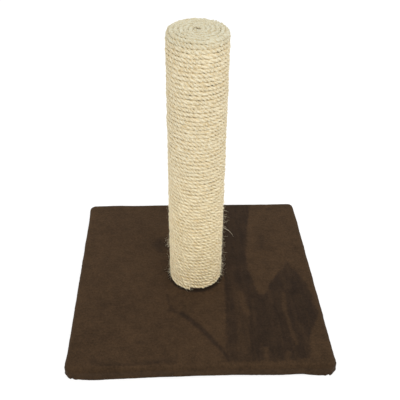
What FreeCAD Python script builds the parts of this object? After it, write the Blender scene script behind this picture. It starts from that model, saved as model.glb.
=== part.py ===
"""A cat scratching post: a fabric-covered square base with one upright post wound in sisal rope.

Millimetres, +Z up. The origin is the middle of the base's underside, where it stands on the floor.
The post is a cardboard tube on two wooden plugs, bolted through the base board from below. The rope
starts at the foot of the post, winds up it clockwise seen from above, turns over the shoulder and
closes the top in a flat spiral.
"""
import FreeCAD, Part
import math
import os
import Sketcher

Vector = FreeCAD.Vector
UP = Vector(0, 0, 1)

# Driving dimensions, each set by itself. A clearance is the gap on one side.
SIZES = {
    "base_width": 400.0,
    "base_depth": 400.0,
    "board_corner": 8.0,
    "board_edge": 4.0,
    "board_thickness": 18.0,
    "fabric_thickness": 2.0,
    "hem_width": 40.0,
    "tube_diameter": 75.0,
    "tube_wall": 2.5,
    "tube_length": 428.0,
    "plug_clearance": 0.1,
    "lower_plug_height": 20.0,
    "upper_plug_height": 15.0,
    "rope_diameter": 6.0,
    "rope_clearance": 0.2,
    "turn_gap": 0.5,
    "bolt_diameter": 8.0,
    "bolt_length": 40.0,
    "bolt_head_across": 13.0,
    "bolt_head_height": 5.3,
    "bolt_bevel": 1.0,
    "bolt_hole_clearance": 0.5,
    "washer_diameter": 24.0,
    "washer_thickness": 2.0,
    "counterbore_clearance": 2.0,
    "nut_barrel_diameter": 10.0,
    "nut_barrel_length": 9.0,
    "nut_flange_diameter": 22.0,
    "nut_flange_thickness": 1.5,
    "nut_prong_length": 6.0,
    "thread_clearance": 0.1,
    "staple_crown": 10.0,
    "staple_leg": 8.0,
    "staple_wire": 1.0,
    "staple_flat": 0.6,
    "staple_sink": 0.4,
    "tack_length": 15.0,
    "tack_diameter": 1.4,
    "tack_head_diameter": 4.0,
    "tack_head_thickness": 0.6,
    "seat_clearance": 0.1,
}
STAPLES_PER_SIDE = 8
TACKS_PER_PLUG = 4
NUT_PRONGS = 4
MOST_TURNS = 24
ROPE_START = math.radians(-104.5)
# A stretch of rope settles back onto its curve this part of a turn after its straight end. From there, its
# curve passes through points that are at most these parts of a turn apart, up the side and on the top.
SETTLE_TURN = 0.125
SIDE_STEP = 0.5
TOP_STEP = 0.25
# The rope's end hooks in to the middle of the top: the spiral's least radius and the hook's bend in
# rope diameters, and how far the hook turns.
HOOK_ROOM = 1.65
HOOK_BEND = 1.05
HOOK_TURN = math.radians(150)
# How often a search by halving halves its range, and how near two heights or directions count as the same.
HALVINGS = 40
NEAR = 0.001
# A sketch is drawn at this size before the sheet's sizes are bound to it.
DRAWN = 20.0

doc = FreeCAD.newDocument("scratching_post")
sheet = doc.addObject("Spreadsheet::Sheet", "sizes")
for row, (alias, size) in enumerate(SIZES.items(), start=1):
    sheet.set(f"A{row}", alias)
    sheet.set(f"B{row}", str(size))
    sheet.setAlias(f"B{row}", alias)
doc.recompute()


def size(alias):
    """One driving dimension, read back from the sheet."""
    return float(sheet.get(alias))


# Heights that several pieces share, as expressions for the bound pieces and as numbers for the rest.
BOARD_BOTTOM = "sizes.fabric_thickness"
BASE_TOP = "(2 * sizes.fabric_thickness + sizes.board_thickness)"
TUBE_TOP = f"({BASE_TOP} + sizes.tube_length)"
PLUG_DIAMETER = "(sizes.tube_diameter - 2 * sizes.tube_wall - 2 * sizes.plug_clearance)"
LOWER_PLUG_TOP = f"({BASE_TOP} + sizes.lower_plug_height)"
UPPER_PLUG_BOTTOM = f"({TUBE_TOP} - sizes.upper_plug_height)"
BOLT_HOLE = "(sizes.bolt_diameter + 2 * sizes.bolt_hole_clearance)"
COUNTERBORE = "(sizes.washer_diameter + 2 * sizes.counterbore_clearance)"
WASHER_BOTTOM = f"({BOARD_BOTTOM} + sizes.seat_clearance + sizes.bolt_head_height)"
WASHER_TOP = f"({WASHER_BOTTOM} + sizes.washer_thickness)"
BARREL_BORE = "(sizes.nut_barrel_diameter + 2 * sizes.seat_clearance)"

base_top = 2 * size("fabric_thickness") + size("board_thickness")
tube_top = base_top + size("tube_length")
tube_radius = size("tube_diameter") / 2
lower_plug_top = base_top + size("lower_plug_height")


# ---- Ways of making a piece ------------------------------------------------------------------------

def bind(thing, **expressions):
    """Ties properties of an object to expressions on the sheet."""
    for name, expression in expressions.items():
        thing.setExpression(name.replace("__", "."), expression)
    return thing


def new_sketch(body, name, height="0"):
    """A sketch on the body's own level plane, raised to a height."""
    sketch = body.newObject("Sketcher::SketchObject", name)
    level = next(plane for plane in body.Origin.OriginFeatures if plane.Role == "XY_Plane")
    sketch.AttachmentSupport = [(level, "")]
    sketch.MapMode = "FlatFace"
    sketch.setExpression("AttachmentOffset.Base.z", height)
    return sketch


def add_circle(sketch, name, diameter):
    """A circle about the sketch's origin."""
    line = sketch.addGeometry(Part.Circle(Vector(), UP, DRAWN / 2))
    sketch.addConstraint(Sketcher.Constraint("Coincident", line, 3, -1, 1))
    number = sketch.addConstraint(Sketcher.Constraint("Diameter", line, DRAWN))
    sketch.renameConstraint(number, name)
    sketch.setExpression("Constraints." + name, diameter)


def add_rectangle(sketch, width, depth):
    """A rectangle centred on the sketch's origin."""
    corners = [Vector(x, y) * (DRAWN / 2) for x, y in ((-1, -1), (1, -1), (1, 1), (-1, 1))]
    for start, end in zip(corners, corners[1:] + corners[:1]):
        sketch.addGeometry(Part.LineSegment(start, end))
    for side in range(4):
        sketch.addConstraint(Sketcher.Constraint("Coincident", side, 2, (side + 1) % 4, 1))
        sketch.addConstraint(Sketcher.Constraint(("Horizontal", "Vertical")[side % 2], side))
    sketch.addConstraint(Sketcher.Constraint("Symmetric", 0, 1, 2, 1, -1, 1))
    for kind, side, name, length in (("DistanceX", 0, "width", width), ("DistanceY", 1, "depth", depth)):
        number = sketch.addConstraint(Sketcher.Constraint(kind, side, 1, side, 2, DRAWN))
        sketch.renameConstraint(number, name)
        sketch.setExpression("Constraints." + name, length)


def add_pad(body, name, sketch, length):
    """Raises a sketch into a solid."""
    pad = body.newObject("PartDesign::Pad", name)
    pad.Profile = sketch
    pad.setExpression("Length", length)
    sketch.Visibility = False
    return pad


def edge_names(shape, wanted):
    """The names of the edges that pass a test."""
    return [f"Edge{number}" for number, edge in enumerate(shape.Edges, start=1) if wanted(edge)]


def stands(edge):
    """Whether an edge is upright and straight."""
    along = edge.tangentAt(edge.FirstParameter)
    return abs(along.z) > 1 - NEAR


def lies(edge):
    """Whether an edge lies level."""
    return edge.BoundBox.ZLength < NEAR


def block(name, bottom, width, depth, height, corner, edge):
    """A board-like body about the Z axis, its plan corners and then all its level edges rounded."""
    body = doc.addObject("PartDesign::Body", name)
    outline = new_sketch(body, name + "_outline", bottom)
    add_rectangle(outline, width, depth)
    slab = add_pad(body, name + "_slab", outline, height)
    doc.recompute()
    last = slab
    for step, radius, wanted in (("_corners", corner, stands), ("_edges", edge, lies)):
        rounded = body.newObject("PartDesign::Fillet", name + step)
        rounded.Base = (last, edge_names(last.Shape, wanted))
        rounded.setExpression("Radius", radius)
        doc.recompute()
        last = rounded
    return body


def disc(name, bottom, height, outer, inner=None):
    """A round body about the Z axis, with a bore where one is given."""
    body = doc.addObject("PartDesign::Body", name)
    outline = new_sketch(body, name + "_outline", bottom)
    add_circle(outline, "outer", outer)
    if inner:
        add_circle(outline, "inner", inner)
    add_pad(body, name + "_pad", outline, height)
    return body


def cylinder(name, bottom, height, diameter):
    """A plain cylinder about the Z axis."""
    return bind(doc.addObject("Part::Cylinder", name), Radius=f"{diameter} / 2", Height=height,
                Placement__Base__z=bottom)


def solids(name, shapes):
    """A group of separate solids that are worked out below."""
    group = doc.addObject("Part::Feature", name)
    group.Shape = Part.makeCompound(shapes)
    return group


def cut(name, base, *tools):
    """A piece with openings cut from it."""
    tool = tools[0]
    if len(tools) > 1:
        tool = doc.addObject("Part::Compound", name + "_openings")
        tool.Links = list(tools)
    piece = doc.addObject("Part::Cut", name)
    piece.Base = base
    piece.Tool = tool
    return piece


# ---- Small hardware, worked out once as metal and once, grown, as the hole it sits in ----------------

def staple(grow):
    """A wide-crown staple under the hem, crown along X, its legs up into the board.

    A grown one is the hole: it is open below, where the crown pressed the pile in.
    """
    half_crown = size("staple_crown") / 2
    wire = size("staple_wire")
    sink = size("staple_sink")
    crown_top = sink + size("staple_flat")
    crown_bottom = sink if grow == 0 else -grow
    crown = Part.makeBox(2 * (half_crown + grow), wire + 2 * grow, crown_top + grow - crown_bottom,
                         Vector(-half_crown - grow, -wire / 2 - grow, crown_bottom))
    legs = []
    for side in (-1, 1):
        middle = side * (half_crown - wire / 2)
        corner = Vector(middle - wire / 2 - grow, -wire / 2 - grow, sink)
        legs.append(Part.makeBox(wire + 2 * grow, wire + 2 * grow, size("staple_leg") + grow, corner))
    return crown.fuse(legs).removeSplitter()


def all_staples(grow):
    """A staple at each place: a row along each side of the hem, evenly spaced between the corners."""
    inset = size("hem_width") / 2
    placed = []
    for along, across, turn in ((size("base_width"), size("base_depth"), 0),
                                (size("base_depth"), size("base_width"), 90)):
        spacing = (along - 2 * size("hem_width")) / STAPLES_PER_SIDE
        for side in (-1, 1):
            for number in range(STAPLES_PER_SIDE):
                one = staple(grow)
                one.translate(Vector((number + 0.5 - STAPLES_PER_SIDE / 2) * spacing,
                                     side * (across / 2 - inset), 0))
                one.rotate(Vector(), UP, turn)
                placed.append(one)
    return placed


def all_tacks(level, first_angle, grow):
    """Flat-headed tacks driven inwards round the tube, their heads flush in its wall."""
    head_radius = size("tack_head_diameter") / 2
    # A flat head on a round wall is set in until its rim is level with the wall.
    head_face = math.sqrt(tube_radius**2 - head_radius**2) - size("seat_clearance")
    # A grown head reaches out through the wall, so that the tack can be driven in.
    outside = 10 * grow
    head_room = size("tack_head_thickness") + grow + outside
    placed = []
    for number in range(TACKS_PER_PLUG):
        angle = first_angle + number * 2 * math.pi / TACKS_PER_PLUG
        inward = Vector(-math.cos(angle), -math.sin(angle), 0)
        face = Vector(0, 0, level) - inward * head_face
        head = Part.makeCylinder(head_radius + grow, head_room, face - inward * outside, inward)
        pin = Part.makeCylinder(size("tack_diameter") / 2 + grow, size("tack_length") + grow, face, inward)
        placed.append(head.fuse(pin).removeSplitter())
    return placed


def nut_prongs(grow):
    """The prongs under the tee nut's flange, driven into the plug."""
    flange_radius = size("nut_flange_diameter") / 2
    thickness = size("nut_flange_thickness")
    drop = size("nut_prong_length") + grow
    placed = []
    for number in range(NUT_PRONGS):
        corner = Vector(flange_radius - thickness - grow, -thickness - grow, lower_plug_top - drop)
        prong = Part.makeBox(thickness + 2 * grow, 2 * thickness + 2 * grow, drop, corner)
        prong.rotate(Vector(), UP, (number + 0.5) * 360 / NUT_PRONGS)
        placed.append(prong)
    return placed


seat = size("seat_clearance")
LOWER_TACKS = (base_top + size("lower_plug_height") / 2, math.radians(20))
UPPER_TACKS = (tube_top - size("upper_plug_height") / 2, math.radians(65))


# ---- The base ---------------------------------------------------------------------------------------

def make_base():
    """The board, the plush stretched over it and folded under, and the staples that hold the fold."""
    board_width = "sizes.base_width - 2 * sizes.fabric_thickness"
    board_depth = "sizes.base_depth - 2 * sizes.fabric_thickness"
    board_blank = block("board_blank", BOARD_BOTTOM, board_width, board_depth, "sizes.board_thickness",
                        "sizes.board_corner", "sizes.board_edge")
    cover_blank = block("cover_blank", "0", "sizes.base_width", "sizes.base_depth", BASE_TOP,
                        "sizes.board_corner + sizes.fabric_thickness",
                        "sizes.board_edge + sizes.fabric_thickness")
    staple_seats = solids("staple_seats", all_staples(seat))
    bolt_hole = cylinder("bolt_hole", "0", BASE_TOP, BOLT_HOLE)
    counterbore = cylinder("counterbore", "0", WASHER_TOP, COUNTERBORE)
    under_hem = bind(doc.addObject("Part::Box", "inside_the_hem"),
                     Length="sizes.base_width - 2 * sizes.hem_width",
                     Width="sizes.base_depth - 2 * sizes.hem_width",
                     Height="sizes.fabric_thickness",
                     Placement__Base__x="sizes.hem_width - sizes.base_width / 2",
                     Placement__Base__y="sizes.hem_width - sizes.base_depth / 2")
    return [cut("base_board", board_blank, staple_seats, bolt_hole, counterbore),
            cut("base_cover", cover_blank, board_blank, under_hem, bolt_hole, staple_seats),
            solids("cover_staples", all_staples(0))]


# ---- The fixing: a hexagon bolt and washer from below into a tee nut on the lower plug -----------------

def make_fixing():
    """The bolt, its washer in the board's counterbore, and the tee nut that it draws down."""
    head = bind(doc.addObject("Part::Prism", "bolt_head"),
                Circumradius="sizes.bolt_head_across / sqrt(3)", Height="sizes.bolt_head_height",
                Placement__Base__z=f"{WASHER_BOTTOM} - sizes.bolt_head_height")
    head.Polygon = 6
    shank = cylinder("bolt_shank", WASHER_BOTTOM, "sizes.bolt_length", "sizes.bolt_diameter")
    whole = doc.addObject("Part::Fuse", "bolt_whole")
    whole.Base = head
    whole.Tool = shank
    doc.recompute()
    tip = whole.Shape.BoundBox.ZMax
    bolt = doc.addObject("Part::Chamfer", "fixing_bolt")
    bolt.Base = whole
    bevel = size("bolt_bevel")
    bolt.Edges = [(number, bevel, bevel) for number, edge in enumerate(whole.Shape.Edges, start=1)
                  if lies(edge) and abs(edge.BoundBox.ZMax - tip) < NEAR]
    washer = disc("bolt_washer", WASHER_BOTTOM, "sizes.washer_thickness", "sizes.washer_diameter",
                  "sizes.bolt_diameter + 2 * sizes.seat_clearance")
    thread = "sizes.bolt_diameter + 2 * sizes.thread_clearance"
    flange = disc("nut_flange", LOWER_PLUG_TOP, "sizes.nut_flange_thickness", "sizes.nut_flange_diameter",
                  thread)
    barrel = disc("nut_barrel", f"{LOWER_PLUG_TOP} - sizes.nut_barrel_length", "sizes.nut_barrel_length",
                  "sizes.nut_barrel_diameter", thread)
    prongs = solids("nut_prongs", nut_prongs(0))
    nut = doc.addObject("Part::MultiFuse", "tee_nut")
    nut.Shapes = [flange, barrel, prongs]
    return [bolt, washer, nut]


# ---- The post -----------------------------------------------------------------------------------------

def make_post():
    """The cardboard tube, the plugs tacked into its two ends, and the tacks."""
    tube = disc("tube_blank", BASE_TOP, "sizes.tube_length", "sizes.tube_diameter",
                "sizes.tube_diameter - 2 * sizes.tube_wall")
    lower = disc("lower_plug_blank", BASE_TOP, "sizes.lower_plug_height", PLUG_DIAMETER, BARREL_BORE)
    upper = disc("upper_plug_blank", UPPER_PLUG_BOTTOM, "sizes.upper_plug_height", PLUG_DIAMETER)
    lower_holes = solids("lower_tack_holes", all_tacks(*LOWER_TACKS, seat))
    upper_holes = solids("upper_tack_holes", all_tacks(*UPPER_TACKS, seat))
    prong_seats = solids("prong_seats", nut_prongs(seat))
    return [cut("post_tube", tube, lower_holes, upper_holes),
            cut("lower_plug", lower, lower_holes, prong_seats),
            cut("upper_plug", upper, upper_holes),
            solids("lower_plug_tacks", all_tacks(*LOWER_TACKS, 0)),
            solids("upper_plug_tacks", all_tacks(*UPPER_TACKS, 0))]


# ---- The rope ------------------------------------------------------------------------------------------
# Its centre line follows a track: up beside the tube, over the shoulder on an arc, and in across the
# top. One turn further on, it lies one pitch away along a straight line, also round the shoulder.

rope_diameter = size("rope_diameter")
pitch = rope_diameter + size("turn_gap")
stand_off = rope_diameter / 2 + size("rope_clearance")
shoulder = stand_off * math.pi / 2
side_turns = (tube_top - base_top - stand_off) / pitch


def track(way):
    """Radius and height of the rope's centre line, by the way along the track past the tube's top."""
    if way <= 0:
        return tube_radius + stand_off, tube_top + way
    if way < shoulder:
        angle = way / stand_off
        return tube_radius + stand_off * math.cos(angle), tube_top + stand_off * math.sin(angle)
    return tube_radius - (way - shoulder), tube_top + stand_off


def one_turn_on(way):
    """The way along the track at which the next turn lies one pitch off."""
    radius, height = track(way)
    low, high = way + pitch, way + 1.5 * pitch
    for _ in range(HALVINGS):
        middle = (low + high) / 2
        next_radius, next_height = track(middle)
        if math.hypot(next_radius - radius, next_height - height) < pitch:
            low = middle
        else:
            high = middle
    return (low + high) / 2


def way_at(turns):
    """The way along the track after a number of turns."""
    past = max(0, math.ceil(turns - side_turns))
    way = pitch * (turns - past - side_turns)
    for _ in range(past):
        way = one_turn_on(way)
    return way


def rope_point(turns):
    """The rope's centre after a number of turns, clockwise seen from above."""
    radius, height = track(way_at(turns))
    angle = ROPE_START - 2 * math.pi * turns
    return Vector(radius * math.cos(angle), radius * math.sin(angle), height)


def rope_heading(turns):
    """The rope's direction there."""
    step = 0.0001
    return (rope_point(turns + step) - rope_point(turns - step)).normalize()


def arc_from(start, heading, end):
    """The arc that leaves one point with a heading and reaches another, and its radius."""
    chord = end - start
    axis = heading.cross(chord)
    if axis.Length < 1e-6 * chord.Length:
        return Part.LineSegment(start, end), math.inf
    inward = axis.normalize().cross(heading)
    radius = chord.dot(chord) / (2 * chord.dot(inward))
    middle = start + inward * radius
    to_bulge = ((start + end) * 0.5 - middle).normalize()
    return Part.Arc(start, middle + to_bulge * radius, end), radius


def biarc(start, heading, end, end_heading):
    """Two arcs that join two points and share their headings."""
    chord = end - start
    both = heading + end_heading
    turned = 2 * (1 - heading.dot(end_heading))
    if turned < 1e-12:
        reach = chord.dot(chord) / (2 * chord.dot(both))
    else:
        part = chord.dot(both)
        reach = (math.sqrt(part * part + turned * chord.dot(chord)) - part) / turned
    joint = (start + end + (heading - end_heading) * reach) * 0.5
    first, first_radius = arc_from(start, heading, joint)
    second, second_radius = arc_from(end, end_heading * -1, joint)
    middle = second.value((second.FirstParameter + second.LastParameter) / 2)
    return [first.toShape(), Part.Arc(joint, middle, end).toShape()], min(first_radius, second_radius)


def wound_path(stations):
    """A wire through points with headings, its two ends straight for one rope diameter."""
    first_point, first_heading = stations[0]
    last_point, last_heading = stations[-1]
    lead_in = first_point + first_heading * rope_diameter
    lead_out = last_point - last_heading * rope_diameter
    inner = [(lead_in, first_heading)] + stations[1:-1] + [(lead_out, last_heading)]
    edges = [Part.LineSegment(first_point, lead_in).toShape()]
    tightest = math.inf
    for (start, heading), (end, end_heading) in zip(inner, inner[1:]):
        arcs, radius = biarc(start, heading, end, end_heading)
        edges += arcs
        tightest = min(tightest, radius)
    edges.append(Part.LineSegment(lead_out, last_point).toShape())
    return Part.Wire(edges), tightest


def least_gap(points, spacing):
    """The least gap of the tube to itself, measured between points along its centre line.

    Only points at least half a turn of the tightest coil apart are compared.
    """
    apart = int(math.pi * rope_diameter / spacing)
    least = math.inf
    cells = {}
    side = 2 * rope_diameter
    for number, point in enumerate(points):
        cell = (int(point.x // side), int(point.y // side), int(point.z // side))
        cells.setdefault(cell, []).append((number, point))
    steps = (-1, 0, 1)
    beside = [(x, y, z) for x in steps for y in steps for z in steps]
    for (x, y, z), members in cells.items():
        near = [other for i, j, k in beside for other in cells.get((x + i, y + j, z + k), ())]
        for number, point in members:
            for other_number, other in near:
                if other_number - number > apart:
                    least = min(least, point.distanceToPoint(other))
    return least - rope_diameter


def wind(name, stations, turns):
    """One stretch of the rope as an unbroken tube."""
    path, tightest = wound_path(stations)
    section = Part.Wire([Part.makeCircle(rope_diameter / 2, *stations[0])])
    tube = path.makePipeShell([section], True, False)
    stretch = doc.addObject("Part::Feature", name)
    stretch.Shape = tube
    spacing = rope_diameter / 3
    gap = least_gap(path.discretize(Distance=spacing), spacing)
    fill = tube.Volume / (math.pi * rope_diameter**2 / 4 * path.Length)
    print(f"{name}: {turns:.1f} turns, {path.Length:.0f} mm, least gap {gap:.2f} mm, "
          f"tightest radius {tightest:.1f} mm, volume over section times length {fill:.4f}")
    return stretch, path.Length


def end_hook(start, heading):
    """Stations that bring the rope's end round to the middle of the spiral, its last diameter straight."""
    radius = HOOK_BEND * rope_diameter
    across = heading.cross(UP).normalize()
    middle = start + across * radius
    stations = []
    for turned in (HOOK_TURN / 2, HOOK_TURN):
        point = middle + (heading * math.sin(turned) - across * math.cos(turned)) * radius
        stations.append((point, heading * math.cos(turned) + across * math.sin(turned)))
    last_point, last_heading = stations[-1]
    stations[-1] = (last_point + last_heading * rope_diameter, last_heading)
    return stations


def marks_between(first, last, spacing):
    """Marks at even steps from one to another, in turns, at most the spacing apart."""
    steps = math.ceil((last - first) / spacing)
    return [first + (last - first) * step / steps for step in range(steps + 1)]


def turns_to_hook():
    """How many turns bring the rope in to where its end's hook starts."""
    low = side_turns
    high = side_turns + tube_radius / pitch
    for _ in range(HALVINGS):
        middle = (low + high) / 2
        if track(way_at(middle))[0] > HOOK_ROOM * rope_diameter:
            low = middle
        else:
            high = middle
    return low


def rope_stations(marks):
    """The rope's centre and direction at each mark."""
    return [(rope_point(mark), rope_heading(mark)) for mark in marks]


def make_rope():
    """The one rope, in stretches of a limited number of turns that meet face to face."""
    spiral_start = side_turns - 1
    count = math.ceil(spiral_start / MOST_TURNS)
    each = spiral_start / count
    stretches = []
    rope_length = 0
    for number in range(count):
        start = number * each
        end = start + each
        marks = [start] + marks_between(start + SETTLE_TURN, end - SETTLE_TURN, SIDE_STEP) + [end]
        stretch, length = wind(f"rope_winding_{number + 1}", rope_stations(marks), each)
        stretches.append(stretch)
        rope_length += length
    marks = [spiral_start] + marks_between(spiral_start + SETTLE_TURN, turns_to_hook(), TOP_STEP)
    stations = rope_stations(marks)
    stations += end_hook(*stations[-1])
    stretch, length = wind("rope_top_spiral", stations, marks[-1] - spiral_start)
    stretches.append(stretch)
    print(f"rope: {marks[-1]:.1f} turns, {rope_length + length:.0f} mm in all")
    return stretches


# ---- The whole ------------------------------------------------------------------------------------------

pieces = make_base() + make_fixing() + make_post() + make_rope()
doc.recompute()
for thing in doc.Objects:
    if "Invalid" in thing.State or "Error" in thing.State:
        raise RuntimeError(f"{thing.Name} could not be made: {thing.State}")
for piece in pieces:
    if piece.Shape.isNull() or not piece.Shape.isValid():
        raise RuntimeError(f"{piece.Label} is not a valid shape")
os.makedirs("parts", exist_ok=True)
for piece in pieces:
    piece.Shape.exportStep(f"parts/{piece.Label}.step")
    box = piece.Shape.BoundBox
    print(f"{piece.Label}: {len(piece.Shape.Solids)} solids, {piece.Shape.Volume:.0f} mm3, "
          f"z {box.ZMin:.2f} to {box.ZMax:.2f}")
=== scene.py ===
"""Looks of a cat scratching post: sisal rope, loose fibres, a plush cover, the pieces inside, and a studio.

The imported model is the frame. Everything here is in metres in that frame: +Z up along the post, -Y to the
front, the floor at z = 0. Lengths that a person would measure in millimetres are a number times MM, or have a
comment that says so.
"""
import math
import bpy
import numpy as np
from bpy.props import FloatProperty, FloatVectorProperty, IntProperty, PointerProperty
from mathutils import Matrix, Vector


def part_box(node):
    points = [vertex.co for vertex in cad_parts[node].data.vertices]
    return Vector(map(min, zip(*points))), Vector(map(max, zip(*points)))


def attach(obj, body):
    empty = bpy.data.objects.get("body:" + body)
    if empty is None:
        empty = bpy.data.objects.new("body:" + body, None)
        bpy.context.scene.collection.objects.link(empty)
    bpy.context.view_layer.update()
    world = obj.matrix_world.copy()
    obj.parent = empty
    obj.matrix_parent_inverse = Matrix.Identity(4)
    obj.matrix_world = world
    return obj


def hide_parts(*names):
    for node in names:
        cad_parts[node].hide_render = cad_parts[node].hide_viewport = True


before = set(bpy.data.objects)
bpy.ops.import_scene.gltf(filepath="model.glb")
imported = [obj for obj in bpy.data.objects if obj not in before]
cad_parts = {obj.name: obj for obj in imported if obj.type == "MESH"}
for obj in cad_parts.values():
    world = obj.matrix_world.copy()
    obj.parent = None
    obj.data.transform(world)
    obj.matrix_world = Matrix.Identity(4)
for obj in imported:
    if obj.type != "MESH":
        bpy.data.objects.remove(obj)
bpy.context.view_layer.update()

bl_info = {
    "name": "Cat scratching post",
    "version": (1, 0, 0),
    "blender": (4, 5, 0),
    "location": "View3D > Sidebar > Scratching Post",
    "description": "Winds the rope, covers the base, finishes the inner pieces and sets up the studio",
    "category": "Object",
}

MM = 0.001
BODY = "root"
TURN = 2 * math.pi
WHITE = (1.0, 1.0, 1.0, 1.0)

BOARD_LOW, BOARD_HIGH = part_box("base_board")
COVER_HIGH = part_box("base_cover")[1]
TUBE_LOW, TUBE_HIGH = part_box("post_tube")
BOARD_CORNER = 8 * MM
BOARD_EDGE = 4 * MM
HEM_WIDTH = 40 * MM
STAPLES_A_SIDE = 8
STAPLE_SPACING = 40 * MM

WINDINGS = ["rope_winding_1", "rope_winding_2", "rope_winding_3"]
TOP_SPIRAL = "rope_top_spiral"
ROPE_SEED = 11
FIBRE_SEED = 23
COVER_SEED = 37

# The rope's way round the post: the azimuth of its start, how much of a turn it ends before the middle of
# the top, and the steps a turn in which its length is added up.
ROPE_START = math.radians(-104.5)
ENDS_BEFORE_MIDDLE = 0.24
FINE_STEPS = 360

# How the wound rope leaves that way, in millimetres.
SHARED_DRIFT = 0.24  # along the track, together with the turns beside it
OWN_DRIFT = 0.12  # along the track, on its own
BULGE = 0.12  # away from the tube
PRESSED_IN = 0.15  # toward the tube, everywhere on its wall
TOP_LIFT = 1.6  # up, on the top
TOP_SLOPE = np.array([-0.5, 1.4])  # up toward +X and toward +Y, at the tube's radius
RIM_IN = 1.0  # inward, round the rim
RIM_DOWN = 1.6  # down, round the rim
FOOT_SAG = 2.6  # down, in the latter part of the first turn
FOOT_SAG_FADE = 0.32  # how fast that gets less from turn to turn, as the power of e
SAGGING_TURNS = 9  # how many of the lowest turns sag

# The rope's section.
STRAND_SWELL = 0.26  # how much each strand's height changes
GIRTH_CHANGE = 0.035  # how much the whole rope's thickness changes
TWIST_SLIP = 0.50  # how far its twist runs ahead or behind, in radians
LUMPS = 0.07  # roughness of the strands, in millimetres
TOP_FLATTENED = 0.42  # how much of the strands' height the turns on top lose
CUT_SPREAD = 0.14  # how much thicker the cut end is
RIM_FILL = 0.10  # how much thicker the rope is halfway round the rim
WIDENED = 1.32  # its width over its height

# Loose fibres: the share that lies on the rope, how far from the post's axis the standing ones root, and the
# azimuths of the two rubbed flanks, with how high their fuzz goes in millimetres.
LYING_SHARE = 0.6
ROOT_RADIUS = TUBE_HIGH.x + 5.4 * MM
LEFT_FLANK, LEFT_FUZZ_TOP = math.radians(184.0), 74.0
RIGHT_FLANK, RIGHT_FUZZ_TOP = math.radians(-3.0), 150.0

# The few loose fibres that the eye finds: azimuth in degrees and height in millimetres of the root,
# heading, bend, curl, and length in millimetres. The first hangs out to the right in an S.
STRAY_FIBRES = [
    (0, 125, (0.45, -0.15, -1.00), (0.90, -0.10, 1.60), (-0.40, 0.00, -1.60), 20),
    (2, 143, (0.90, -0.10, 0.25), (0.10, 0.00, -0.50), (0.00, 0.00, 0.10), 11),
    (178, 88, (-0.60, -0.10, 0.35), (0.20, 0.00, 0.50), (0.00, 0.00, -0.40), 9),
    (181, 84, (-0.75, 0.00, -0.10), (0.30, 0.00, -0.50), (0.00, 0.00, 0.40), 8),
    (183, 62, (-0.60, -0.20, 0.45), (-0.30, 0.10, 0.30), (0.20, 0.00, -0.50), 8),
    (179, 55, (-0.80, 0.10, 0.05), (0.50, 0.00, 0.40), (0.00, 0.00, 0.30), 9),
    (-2, 96, (0.75, -0.05, 0.25), (-0.10, 0.00, 0.70), (0.00, 0.00, -0.60), 8),
    (1, 112, (0.65, -0.20, 0.30), (0.20, 0.00, -0.60), (0.00, 0.00, 0.50), 8),
    (3, 156, (0.70, -0.10, 0.20), (0.20, 0.00, -0.80), (0.20, 0.00, 0.20), 9),
    (-1, 150, (0.60, -0.30, -0.35), (0.30, 0.00, 0.30), (0.00, 0.00, 0.30), 8),
    (0, 71, (0.75, -0.10, -0.15), (-0.20, 0.00, 0.60), (0.00, 0.00, -0.50), 7),
    (-4, 66, (0.65, -0.30, 0.25), (0.20, 0.00, -0.50), (0.00, 0.00, 0.40), 8),
    (2, 52, (0.80, 0.00, 0.00), (0.00, -0.20, 0.50), (0.00, 0.00, -0.30), 9),
]

# The cover's grid: rings on the flat top, how many of them the inner layer takes sparsely, and rings of the
# hem.
FLAT_ROWS = 66
OPEN_ROWS = 60
HEM_ROWS = 15

# How much thicker the cover is than its flat cloth, or thinner, in millimetres.
ROLLS = 0.14  # broad waves on top
CLUMPS = 0.07  # clumps of pile
PULLS = 0.17  # waves on the sides, where it is pulled over
POST_SWELL = 0.9  # round the post
POST_DIP = 0.25  # thinner, under the post
RIM_SWELL = 0.16  # over the board's upper edge
BACK_BULGE = 0.9  # on the back, in the middle
RIGHT_BULGE = 0.9  # on the right
PLEATS = 1.1  # in the pleats at the corners
BUNCHING = 0.5  # all round the corners
HEM_PRESSED = 0.52  # thinner, under the board
HEM_LAPPED = 0.42  # less of that where one lap of the hem ends on the other

# The dip that a staple presses in the hem, from its middle along and across the crown, and the cloth left
# in it.
DIP_ALONG = 7.0 * MM
DIP_ACROSS = 2.4 * MM
UNDER_STAPLE = 0.95 * MM

# How far the front bulges low down, by the place along it, both in millimetres.
FRONT_BULGE = [
    (-200, 3.6), (-180, 6.6), (-150, 6.2), (-110, 4.6), (-60, 3.5), (0, 2.2), (50, 2.2), (110, 3.2),
    (150, 2.2), (175, 5.2), (200, 4.6),
]

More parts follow.
